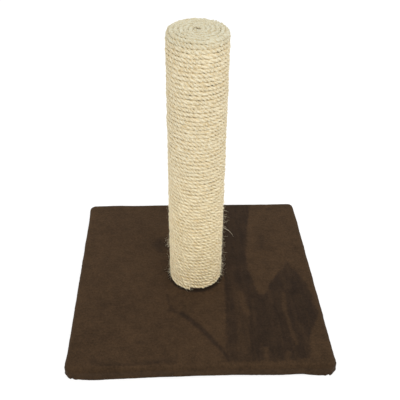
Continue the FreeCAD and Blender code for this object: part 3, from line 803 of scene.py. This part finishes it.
def cover_marks(points, facing):
    """Numbers for the material: how deep each point lies in each kind of mark, in millimetres, and how
    much it is on top, in the painted shadow round the post's foot and in the painted sheen on the rim,
    0 to 1."""
    spots = points[..., :2].reshape(-1, 2) / MM
    top = np.broadcast_to(on_top(facing), points.shape[:2])
    from_post = np.hypot(points[..., 0], points[..., 1])
    marks = {
        "patch": depth_in_outline(spots, BRUSHED_PATCH),
        "deep": depth_in_outline(spots, DEEPEST_PATCH),
        "streak": depth_in_strokes(spots, LIGHT_STREAKS),
        "crease": depth_in_strokes(spots, CREASES),
        "smudge": depth_in_strokes(spots, DARK_SMUDGES),
        "top": top,
        # Painted shadow: a ring round the post's foot, under the rope.
        "foot": bell(from_post, 43.5 * MM, 3.4 * MM) * top,
        "rim": np.broadcast_to(bell(facing, 0.55, 0.45), top.shape),
    }
    return {label: np.clip(values.ravel(), -DEEPEST_MARK, DEEPEST_MARK) for label, values in marks.items()}


def cover_rings(cover):
    """The cover as two layers of rings: the board's surface carried out along its normals by the cloth's
    thickness, and an inner layer of fewer rings that lies on the board, taken backwards, so that the grid
    closes on itself. Also the marks of every point, which are 0 in the inner layer."""
    points, normals, facing, polar, from_corner = cover_grid(cover)
    thick = cover.thickness + MM * cover_relief(points, facing, polar, from_corner)
    thick = pressed_by_staples(thick, points, facing)
    thick = np.where(facing > 3.0, np.minimum(thick, cover.thickness), thick)
    outer = points + normals * thick[..., None]
    outer[..., 2] = np.maximum(outer[..., 2], 0.0)
    last = len(points) - 1
    hem = len(points) - HEM_ROWS
    kept = np.r_[0:OPEN_ROWS:12, OPEN_ROWS:hem:2, hem:last:4, last][::-1]
    inner = (points + normals * 0.05 * MM)[kept]
    unmarked = np.zeros(inner.shape[0] * inner.shape[1])
    marks = cover_marks(points, facing)
    marks = {label: np.concatenate([values, unmarked]) for label, values in marks.items()}
    return np.concatenate([outer, inner]), marks


# ------------------------------------------------------------------------------------------------- materials

def operator_pair(operation):
    """Python's forward and reflected operator for a Math node's operation."""
    def forward(self, other):
        return self.math(operation, self, other)

    def reflected(self, other):
        return self.math(operation, other, self)

    return forward, reflected


class Wire:
    """One output of a material's nodes. Python's operators on it add Math nodes."""

    def __init__(self, finish, socket):
        self.finish = finish
        self.socket = socket

    def math(self, operation, *values):
        return self.finish.node("ShaderNodeMath", {"operation": operation}, dict(enumerate(values)))

    __add__, __radd__ = operator_pair("ADD")
    __sub__, __rsub__ = operator_pair("SUBTRACT")
    __mul__, __rmul__ = operator_pair("MULTIPLY")
    __truediv__, __rtruediv__ = operator_pair("DIVIDE")
    __pow__, __rpow__ = operator_pair("POWER")

    def floor(self):
        return self.math("FLOOR", self)

    def fraction(self):
        return self.math("FRACT", self)

    def larger(self, other):
        return self.math("MAXIMUM", self, other)

    def between(self, low, high):
        """0 up to low, 1 from high on, smooth between."""
        inputs = {"Value": self, "From Min": low, "From Max": high}
        return self.finish.node("ShaderNodeMapRange", {"interpolation_type": "SMOOTHSTEP"}, inputs)


class Finish:
    """The node tree of a new material, or of a new world, in the making."""

    def __init__(self, name, kind="materials"):
        self.holder = getattr(bpy.data, kind).new(name)
        self.holder.use_nodes = True
        self.tree = self.holder.node_tree
        self.tree.nodes.clear()

    def node(self, kind, settings=None, inputs=None, output=0):
        """Adds a node: its settings are set first, then the values or links of its sockets."""
        node = self.tree.nodes.new(kind)
        for name, value in (settings or {}).items():
            setattr(node, name, value)
        for key, value in (inputs or {}).items():
            if isinstance(value, Wire):
                self.tree.links.new(value.socket, node.inputs[key])
            else:
                node.inputs[key].default_value = value
        return Wire(self, node.outputs[output]) if node.outputs else None

    def place(self, stretch=(1.0, 1.0, 1.0), turn=(0.0, 0.0, 0.0)):
        """The object's own coordinates in millimetres, turned and then stretched."""
        raw = self.node("ShaderNodeTexCoord", output="Object")
        inputs = {"Vector": raw, "Rotation": turn, "Scale": tuple(share / MM for share in stretch)}
        return self.node("ShaderNodeMapping", {"vector_type": "POINT"}, inputs)

    def number(self, label):
        """A number that the piece has at each of its points."""
        return self.node("ShaderNodeAttribute", {"attribute_name": label}, output="Fac")

    def split(self, vector):
        """The three numbers of a vector or colour."""
        node = self.tree.nodes.new("ShaderNodeSeparateXYZ")
        self.tree.links.new(vector.socket, node.inputs[0])
        return [Wire(self, socket) for socket in node.outputs]

    def join(self, x, y, z=0.0):
        """A vector or colour of three numbers."""
        return self.node("ShaderNodeCombineXYZ", inputs={0: x, 1: y, 2: z})

    def noise(self, vector, scale=1.0, detail=2.0, roughness=0.5):
        """A noise value about 0.5 whose features are about 1 / scale of the vector's units long."""
        inputs = {"Vector": vector, "Scale": scale, "Detail": detail, "Roughness": roughness}
        return self.node("ShaderNodeTexNoise", {"noise_dimensions": "3D"}, inputs)

    def mix(self, factor, first, second, blend="MIX"):
        """One colour turning into another by a factor, or blended with it."""
        colours = [value if isinstance(value, Wire) else (*value, 1.0) for value in (first, second)]
        settings = {"data_type": "RGBA", "blend_type": blend, "clamp_factor": True}
        return self.node("ShaderNodeMix", settings, {0: factor, 6: colours[0], 7: colours[1]}, output=2)

    def bump(self, height, depth, strength):
        """The normal of a surface with small heights, 1 being as high as the depth."""
        return self.node("ShaderNodeBump", inputs={"Height": height, "Distance": depth, "Strength": strength})

    def surface(self, **sockets):
        """Ends the material in a Principled shader, whose sockets are named with _ for a space."""
        inputs = {name.replace("_", " "): value for name, value in sockets.items()}
        shader = self.node("ShaderNodeBsdfPrincipled", inputs=inputs)
        self.node("ShaderNodeOutputMaterial", inputs={"Surface": shader})
        return self.holder


def sisal_finish(rope):
    """Sisal: fine fibres that run along the rope, so they cross each strand at the lay's angle. Noises
    drawn out along the rope, each less a half and times its weight, add up to how pale it is between
    straw and pale: single fibres, bundles, stretches, flecks and grit. Warm stretches and brown specks
    lie over that. The valley's colour, partly browner fibre and partly painted shade, comes in by a
    weighted sum: the depth between strands, the groove between turns, and grit. Low on the post the
    rope is painted paler as painted light, with more contrast and deeper painted shade, and toward the
    top it turns cooler and is darker as painted shade."""
    finish = Finish("sisal")
    along, around, _ = finish.split(finish.node("ShaderNodeUVMap", {"uv_map": "lay"}))
    run = along * (rope.lay / MM)
    across = (around + along) * 20.0
    strand = (around * 3.0).floor()
    fine = finish.noise(finish.join(run * 0.07, across * 2.3, strand * 5.3), 1.0, 3.0, 0.6)
    bundle = finish.noise(finish.join(run * 0.07, across * 0.75, strand * 9.7))
    stretch = finish.noise(finish.join(run * 0.011, strand * 3.1))
    fleck = finish.noise(finish.join(run * 0.20, around * 7.0, 3.7), roughness=0.6)
    speck = finish.noise(finish.join(run * 0.35, across * 0.9, strand * 2.3), detail=1.0)
    grit = finish.noise(finish.join(run * 0.55, around * 11.0, 6.1), detail=1.0)
    open_groove = finish.noise(finish.join(run * 0.045, 8.1)).between(0.36, 0.64)

    _, _, height = finish.split(finish.place())
    rim = TUBE_HIGH.z / MM
    low = 1.0 - height.between(20.0, 330.0)
    near_top = height.between(rim - 14.0, rim + 7.0)
    flat_top = height.between(rim + 0.5, rim + 3.5)

    mottle = (fleck - 0.5) * (1.6 + low * 1.6) + (bundle - 0.5) * 1.5 + (grit - 0.5) * (3.0 + low * 2.8)
    # The share low * 0.22 paints the foot paler, as painted light.
    pale = (fine - 0.5) * 1.5 + mottle + (stretch - 0.5) * 1.0 + 0.66 + low * 0.22
    colour = finish.mix(pale.between(0.0, 1.0), rope.straw, rope.pale)
    colour = finish.mix(stretch.between(0.56, 0.74) * 0.30, colour, WARM_STRAW)
    # Painted shade and a cooler tint near the top.
    colour = finish.mix(near_top, colour, TOP_TINT_AND_SHADE, blend="MULTIPLY")
    colour = finish.mix(speck.between(0.66, 0.78) * 0.55, colour, BROWN_SPECK)
    # Painted light: the foot is made paler and warmer against its shade.
    colour = finish.mix(low, colour, LOW_PAINTED_LIGHT, blend="MULTIPLY")

    # Painted shade, partly browner fibre: valley colour deep between strands and in grooves between turns,
    # deeper low down.
    shade = (1.0 - finish.number("crown")) ** 1.7 * (0.10 + open_groove * 0.32 + low * 0.30)
    # Less of it on the flat top, with painted shade lines in the top's grooves; the grit's peaks add dark
    # specks.
    shade = shade + finish.number("groove") * (0.16 + low * 0.42 + flat_top * 0.12)
    shade = (shade + (grit - 0.58).larger(0.0) * (2.4 + low * 1.2)) * (1.0 - flat_top * 0.3)
    colour = finish.mix(shade, colour, rope.valley)
    normal = finish.bump(bundle * 0.7 + fine, 0.30 * MM, 0.9)
    return finish.surface(Base_Color=colour, Roughness=0.62 + fine * 0.3, Normal=normal,
                          Specular_IOR_Level=0.35, Sheen_Weight=0.08, Sheen_Roughness=0.5)


def fibre_finish(fibres):
    """Single sisal fibres: pale and glossier than the rope, each stretch of them a little different."""
    finish = Finish("loose_sisal")
    tone = finish.noise(finish.place(), 0.25, 1.0)
    colour = finish.mix(tone.between(0.35, 0.65), (0.82, 0.73, 0.52), fibres.colour)
    return finish.surface(Base_Color=colour, Roughness=0.5 + tone * 0.2, Specular_IOR_Level=0.5)


def plush_finish(cover):
    """Short plush. How dark it is is a weighted sum of two brushed patches with ragged edges, less the
    streaks that stand in them, or else the crease, a smudge or the painted shadow round the post's foot
    where that is darker. It mixes the standing pile's colour into the brushed one's. A shade multiplies
    that: 1 plus noises in four sizes, each less a half, times a painted shade a little darker toward the
    front and over the edge. A painted sheen lightens the rims."""
    finish = Finish("plush")
    spot = finish.place()
    pile = finish.noise(spot, 0.85, 2.0, 0.6)
    clump = finish.noise(spot, 0.28)
    blotch = finish.noise(spot, 0.075)
    cloud = finish.noise(spot, 0.022)
    brush = finish.noise(finish.place((0.16, 0.022, 0.16)))
    ragged = (finish.noise(spot, 0.11, 3.0, 0.65) - 0.5) * 13.0
    top = finish.number("top")
    lit = top.between(0.3, 0.9)

    def mark(label, raggedness, outside, inside):
        """A mark's share by its depth, with a ragged edge that fades from outside to inside."""
        return (finish.number(label) + ragged * raggedness).between(outside, inside) * lit

    patch = mark("patch", 0.65, -2.2, 2.2)
    dark = patch * 0.50 + mark("deep", 0.8, -5.0, 4.0) * 0.34 + patch * (brush - 0.5) * 1.1
    dark = dark * (1.0 - mark("streak", 0.35, -3.2, 2.6) * 0.8)
    dark = dark.larger(mark("crease", 0.30, -4.2, 2.4) * 0.85)
    dark = dark.larger(mark("smudge", 0.4, -8.0, 4.0) * 0.62)
    # Painted shadow: the cover darkens in a ring round the post's foot, under the rope.
    dark = dark.larger(finish.number("foot") * 1.5)
    colour = finish.mix(dark, cover.pile, cover.brushed)

    shade = 1.0 + (pile - 0.5) * 0.9 + (clump - 0.5) * 0.8 + (blotch - 0.5) * 0.65 + (cloud - 0.5) * 0.5
    _, toward_back, _ = finish.split(spot)
    # Painted shade: a little darker over the edge and toward the front, lighter toward the back.
    shade = shade * (0.90 + top * 0.06 + toward_back.between(-230.0, 120.0) * 0.09)
    colour = finish.mix(1.0, colour, finish.join(shade, shade, shade), blend="MULTIPLY")
    # Painted sheen: lighter pile along the rims, patchy with the clumps.
    colour = finish.mix(finish.number("rim") * (0.15 + (clump - 0.5) * 0.5), colour, cover.painted_rim_sheen)
    normal = finish.bump(clump * 0.8 + pile, 0.9 * MM, 0.5)
    return finish.surface(Base_Color=colour, Roughness=0.92, Normal=normal, Specular_IOR_Level=0.12,
                          Sheen_Weight=0.10, Sheen_Roughness=0.45, Sheen_Tint=(0.55, 0.42, 0.33, 1.0))


def chipboard_finish():
    """Raw chipboard: flat chips of three browns, pressed every way, with darker gaps between them."""
    finish = Finish("chipboard")
    cells = {"Vector": finish.place((0.34, 0.22, 0.5), (0.0, 0.0, 0.6)), "Scale": 1.0}
    chips = finish.node("ShaderNodeTexVoronoi", {"feature": "F1"}, cells, output="Color")
    tone, second, _ = finish.split(chips)
    gap = finish.node("ShaderNodeTexVoronoi", {"feature": "DISTANCE_TO_EDGE"}, cells)
    grain = finish.noise(finish.place((0.3, 1.6, 1.0), (0.0, 0.0, 0.4)), detail=3.0)
    colour = finish.mix(tone, (0.46, 0.31, 0.16), (0.68, 0.50, 0.29))
    colour = finish.mix(second.between(0.80, 0.95) * 0.6, colour, (0.30, 0.17, 0.08))
    colour = finish.mix((grain - 0.35) * 0.5, colour, (0.36, 0.23, 0.12))
    colour = finish.mix(1.0 - gap.between(0.0, 0.09), colour, (0.27, 0.17, 0.09))
    normal = finish.bump(gap.between(0.0, 0.12) + grain * 0.4, 0.2 * MM, 0.6)
    return finish.surface(Base_Color=colour, Roughness=0.72 + tone * 0.15, Normal=normal)


def plug_finish():
    """Raw pine across the grain: growth rings about a heart that lies off to one side, with fine pores. A
    ring is the fraction of the distance from the heart, wandering a little, over the rings' width."""
    finish = Finish("plug_wood")
    heart = (31.0, 12.0, 0.0)
    ring_width = 2.6
    spot = finish.node("ShaderNodeVectorMath", {"operation": "ADD"}, {0: finish.place(), 1: heart})
    x, y, _ = finish.split(spot)
    wander = (finish.noise(finish.place(), 0.05) - 0.5) * 6.0
    radius = (x * x + y * y) ** 0.5 + wander
    late = (radius / ring_width).fraction().between(0.45, 0.92)
    grain = finish.noise(finish.place((1.0, 1.0, 0.08)), 2.2)
    colour = finish.mix(late, (0.74, 0.54, 0.31), (0.50, 0.30, 0.13))
    colour = finish.mix((grain - 0.4) * 0.5, colour, (0.42, 0.25, 0.12))
    normal = finish.bump(grain - late * 0.3, 0.12 * MM, 0.5)
    return finish.surface(Base_Color=colour, Roughness=0.62 + grain * 0.15, Normal=normal)


def tube_finish():
    """Wound cardboard: a helical seam between the turns of the outer ply, long fibres and a dull paper
    sheen. The seam is where height over the ply's pitch plus the share of a turn comes to a whole
    number."""
    finish = Finish("tube_board")
    ply_pitch = 110.0
    x, y, z = finish.split(finish.place())
    turned = finish.node("ShaderNodeMath", {"operation": "ARCTAN2"}, {0: y, 1: x}) / TURN
    ply = (z / ply_pitch + turned).fraction()
    seam = 1.0 - ply.between(0.0, 0.012) + ply.between(0.985, 1.0)
    fibre = finish.noise(finish.place((0.9, 0.9, 0.25), (0.5, 0.0, 0.0)), 1.2, 4.0, 0.65)
    cloud = finish.noise(finish.place(), 0.03)
    colour = finish.mix(fibre * 0.6 + cloud * 0.4, (0.31, 0.20, 0.11), (0.46, 0.32, 0.19))
    colour = finish.mix(seam * 0.8, colour, (0.16, 0.10, 0.055))
    normal = finish.bump(fibre * 0.3 - seam, 0.15 * MM, 0.6)
    return finish.surface(Base_Color=colour, Roughness=0.7 + cloud * 0.15, Normal=normal)


def metal_finish(name, base, stain, rough):
    """Plated steel: fine turning marks, cloudy plating and duller spots."""
    finish = Finish(name)
    cloud = finish.noise(finish.place(), 0.35, 3.0)
    marks = finish.noise(finish.place((0.4, 0.4, 6.0)))
    dull = cloud.between(0.55, 0.75)
    colour = finish.mix(dull * 0.6 + (marks - 0.5) * 0.3, base, stain)
    normal = finish.bump(marks + cloud * 0.5, 0.03 * MM, 0.4)
    return finish.surface(Base_Color=colour, Metallic=1.0, Roughness=rough + dull * 0.22, Normal=normal)


def give(material, *names):
    """Puts a material on CAD nodes."""
    for name in names:
        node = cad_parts[name]
        if not node.material_slots:
            node.data.materials.append(material)
        for slot in node.material_slots:
            slot.material = material


def own(piece, material, slot, *nodes):
    """Finishes a new piece, which rides on the body and may stand for CAD nodes."""
    piece.data.materials.append(material)
    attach(piece, BODY)
    if nodes:
        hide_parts(*nodes)


# ------------------------------------------------------------------------------------------------- operators

class SCRATCH_OT_rope(bpy.types.Operator):
    """Winds the sisal rope up the post and in over its top"""
    bl_idname = "scratch.rope"
    bl_label = "Wind rope"

    def execute(self, context):
        rope = context.scene.scratch_rope
        line = rope_line(rope)
        rings, crown, groove = rope_rings(rope, line)
        turns, run = line[:2]
        cuts = np.linspace(0.0, turns_up(rope) - 1.0, len(WINDINGS) + 1)
        rows = np.append(np.searchsorted(turns, cuts), len(turns) - 1)
        material = sisal_finish(rope)
        for node, first, last in zip(WINDINGS + [TOP_SPIRAL], rows[:-1], rows[1:]):
            part = slice(first, last + 1)
            piece = rope_piece("sisal_" + node, rings[part], crown[part], groove[part], run[part] / rope.lay)
            own(piece, material, "sisal", node)
        return {"FINISHED"}


class SCRATCH_OT_fibres(bpy.types.Operator):
    """Grows the loose fibres that stand out of the rope"""
    bl_idname = "scratch.fibres"
    bl_label = "Grow loose fibres"

    def execute(self, context):
        fibres = context.scene.scratch_fibres
        line = rope_line(context.scene.scratch_rope)
        groups = fibre_roots(fibres, line), flank_fibres(fibres), stray_fibres(fibres)
        drawn = [np.concatenate(values) for values in zip(*groups)]
        points, faces = fibre_mesh(*drawn)
        points[:, 2] = np.maximum(points[:, 2], COVER_HIGH.z + 0.3 * MM)
        piece = make_piece("loose_fibres", points, outward(points, faces))
        own(piece, fibre_finish(fibres), "sisal")
        return {"FINISHED"}


class SCRATCH_OT_cover(bpy.types.Operator):
    """Stretches the plush cover over the base board and folds it under"""
    bl_idname = "scratch.cover"
    bl_label = "Cover base"

    def execute(self, context):
        cover = context.scene.scratch_cover
        rings, marks = cover_rings(cover)
        points = rings.reshape(-1, 3)
        faces = outward(points, [ring_quads(rings.shape[0], rings.shape[1], closed=True)])
        piece = make_piece("plush_cover", points, faces, marks)
        own(piece, plush_finish(cover), "plush", "base_cover")
        return {"FINISHED"}


class SCRATCH_OT_inner(bpy.types.Operator):
    """Finishes the board, the tube and its plugs"""
    bl_idname = "scratch.inner"
    bl_label = "Finish board, tube and plugs"

    def execute(self, context):
        give(chipboard_finish(), "base_board")
        give(plug_finish(), "lower_plug", "upper_plug")
        give(tube_finish(), "post_tube")
        return {"FINISHED"}


class SCRATCH_OT_fixings(bpy.types.Operator):
    """Finishes the bolt, washer, nut, staples and tacks"""
    bl_idname = "scratch.fixings"
    bl_label = "Finish fixings"

    def execute(self, context):
        give(metal_finish("zinc_steel", (0.60, 0.61, 0.62), (0.40, 0.42, 0.44), 0.28),
             "fixing_bolt", "bolt_washer", "tee_nut")
        give(metal_finish("galvanised_wire", (0.52, 0.53, 0.54), (0.34, 0.35, 0.36), 0.38),
             "cover_staples", "lower_plug_tacks", "upper_plug_tacks")
        return {"FINISHED"}


class SCRATCH_OT_stage(bpy.types.Operator):
    """Lays the floor, hangs the light and sets the camera"""
    bl_idname = "scratch.stage"
    bl_label = "Set stage"

    def execute(self, context):
        stage = context.scene.scratch_stage
        lay_floor(stage)
        light_surround(context.scene, stage)
        hang_lamp(stage)
        set_camera(context.scene, stage)
        context.scene.view_settings.view_transform = "Standard"
        return {"FINISHED"}


def seen_directly(finish):
    """1 for rays from the camera, and for those that a shiny or clear surface sends on."""
    rays = [finish.node("ShaderNodeLightPath", output=name)
            for name in ("Is Camera Ray", "Is Glossy Ray", "Is Transmission Ray")]
    return rays[0].larger(rays[1]).larger(rays[2])


def lay_floor(stage):
    """A white floor. The camera sees part of it as plain white, so that only a light shadow stays."""
    half = 6.0
    points = np.array([(-half, -half, 0.0), (half, -half, 0.0), (half, half, 0.0), (-half, half, 0.0)])
    floor = make_piece("floor", points, [np.array([[0, 1, 2, 3]])])
    finish = Finish("floor_white")
    grain = finish.noise(finish.place(), 0.01)
    colour = finish.mix(grain, (0.90, 0.90, 0.90), (0.92, 0.92, 0.92))
    lit = finish.node("ShaderNodeBsdfPrincipled", inputs={"Base Color": colour, "Roughness": 0.9})
    white = finish.node("ShaderNodeEmission", inputs={"Color": WHITE, "Strength": 1.15})
    share = seen_directly(finish) * (1.0 - stage.shadow_share)
    both = finish.node("ShaderNodeMixShader", inputs={0: share, 1: lit, 2: white})
    finish.node("ShaderNodeOutputMaterial", inputs={"Surface": both})
    floor.data.materials.append(finish.holder)


def light_surround(scene, stage):
    """Even light from all round, which the camera sees as white."""
    finish = Finish("surround", "worlds")
    scene.world = finish.holder
    even = {"Color": (1.0, 0.995, 0.985, 1.0), "Strength": stage.world_strength}
    light = finish.node("ShaderNodeBackground", inputs=even)
    white = finish.node("ShaderNodeBackground", inputs={"Color": WHITE, "Strength": 1.0})
    both = finish.node("ShaderNodeMixShader", inputs={0: seen_directly(finish), 1: light, 2: white})
    finish.node("ShaderNodeOutputWorld", inputs={"Surface": both})


def hang_lamp(stage):
    """A large soft lamp in front, above and to the right, turned to the post."""
    place = Vector((0.35, -1.3, 2.3))
    target = Vector((0.0, 0.0, 0.2))
    lamp = bpy.data.lights.new("soft_lamp", "AREA")
    lamp.shape = "DISK"
    lamp.size = 2.0
    lamp.energy = stage.lamp_power
    lamp.color = (1.0, 0.985, 0.96)
    lamp_object = bpy.data.objects.new("soft_lamp", lamp)
    turned = (target - place).to_track_quat("-Z", "Y").to_matrix().to_4x4()
    lamp_object.matrix_world = Matrix.Translation(place) @ turned
    bpy.context.scene.collection.objects.link(lamp_object)


def set_camera(scene, stage):
    """A camera that looks down at the post from in front, a little from the left. Its axes come from
    turning by the swing, then the tilt, then the roll."""
    forward = Vector((math.sin(stage.swing) * math.cos(stage.tilt),
                      math.cos(stage.swing) * math.cos(stage.tilt),
                      -math.sin(stage.tilt)))
    level = Vector((math.cos(stage.swing), -math.sin(stage.swing), 0.0))
    upright = level.cross(forward)
    right = level * math.cos(stage.roll) + upright * math.sin(stage.roll)
    up = upright * math.cos(stage.roll) - level * math.sin(stage.roll)
    data = bpy.data.cameras.new("camera")
    data.lens = stage.lens
    data.sensor_width = 36.0
    data.shift_x = stage.shift
    data.clip_end = 30.0
    camera = bpy.data.objects.new("camera", data)
    turned = Matrix((right, up, -forward)).transposed().to_4x4()
    camera.matrix_world = Matrix.Translation(Vector(stage.camera_place)) @ turned
    scene.collection.objects.link(camera)
    scene.camera = camera


class SCRATCH_PT_panel(bpy.types.Panel):
    """Lists the pieces of the scratching post"""
    bl_idname = "SCRATCH_PT_panel"
    bl_label = "Scratching Post"
    bl_space_type = "VIEW_3D"
    bl_region_type = "UI"
    bl_category = "Scratching Post"

    def draw(self, context):
        for operator, settings in STEPS.items():
            self.layout.operator(operator)
            if settings:
                group = getattr(context.scene, settings)
                for name in group.bl_rna.properties.keys():
                    if name not in ("name", "rna_type"):
                        self.layout.prop(group, name)


STEPS = {
    "scratch.stage": "scratch_stage",
    "scratch.rope": "scratch_rope",
    "scratch.fibres": "scratch_fibres",
    "scratch.cover": "scratch_cover",
    "scratch.inner": None,
    "scratch.fixings": None,
}
GROUPS = {
    "scratch_rope": RopeSettings,
    "scratch_fibres": FibreSettings,
    "scratch_cover": CoverSettings,
    "scratch_stage": StageSettings,
}
CLASSES = [RopeSettings, FibreSettings, CoverSettings, StageSettings, SCRATCH_OT_rope, SCRATCH_OT_fibres,
           SCRATCH_OT_cover, SCRATCH_OT_inner, SCRATCH_OT_fixings, SCRATCH_OT_stage, SCRATCH_PT_panel]


def register():
    for kind in CLASSES:
        bpy.utils.register_class(kind)
    for name, kind in GROUPS.items():
        setattr(bpy.types.Scene, name, PointerProperty(type=kind))


def unregister():
    for name in GROUPS:
        delattr(bpy.types.Scene, name)
    for kind in reversed(CLASSES):
        bpy.utils.unregister_class(kind)


def main():
    register()
    bpy.ops.scratch.stage()
    bpy.ops.scratch.rope()
    bpy.ops.scratch.fibres()
    bpy.ops.scratch.cover()
    bpy.ops.scratch.inner()
    bpy.ops.scratch.fixings()


if __name__ == "__main__":
    main()
